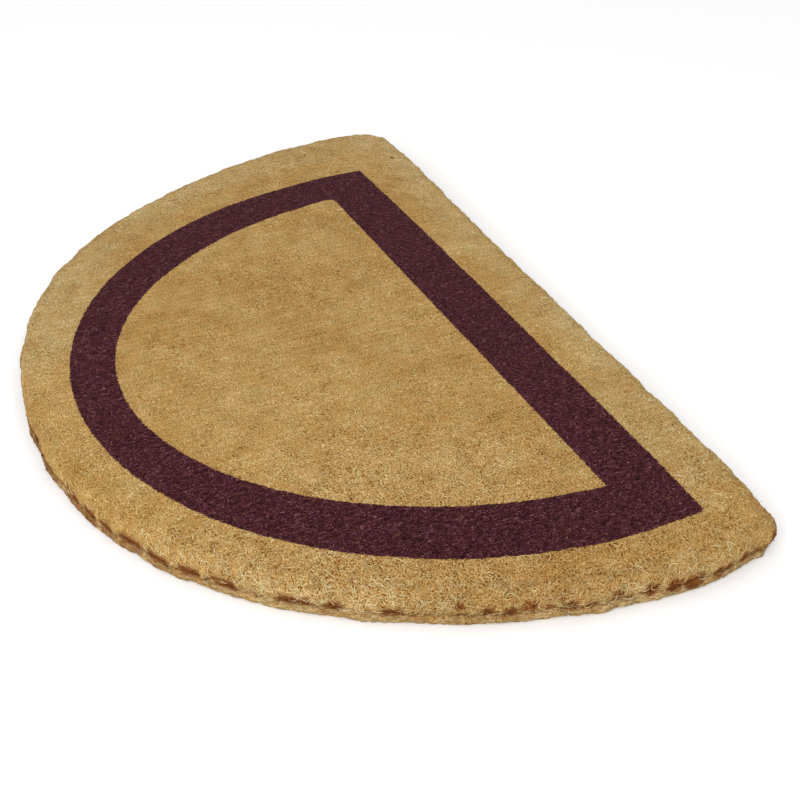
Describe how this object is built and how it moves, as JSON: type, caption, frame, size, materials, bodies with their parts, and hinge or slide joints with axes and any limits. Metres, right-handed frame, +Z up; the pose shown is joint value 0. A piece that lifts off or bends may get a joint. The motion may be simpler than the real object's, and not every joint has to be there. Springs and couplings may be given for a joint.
{
  "type": "doormat",
  "caption": "Thick half-round coir doormat with a straight back edge, a curved front edge, a flat sheared pile and a yarn-bound foot, made to lie flat on the floor.",
  "frame": {"origin": "on the floor, at the middle of the mat's width and depth", "axes": "+X along the straight side, +Y from the curved side towards the straight side, +Z up through the pile"},
  "size_m": [0.99, 0.61, 0.034],
  "materials": {
    "coir_pile": "sheared natural coir pile, matt, with a frame of fibres dyed dark plum",
    "coir_yarn": "natural coir yarn, rough and matt"
  },
  "bodies": {
    "root": {"pile_mat": "coir_pile", "edge_binding": "coir_yarn"}
  },
  "joints": []
}
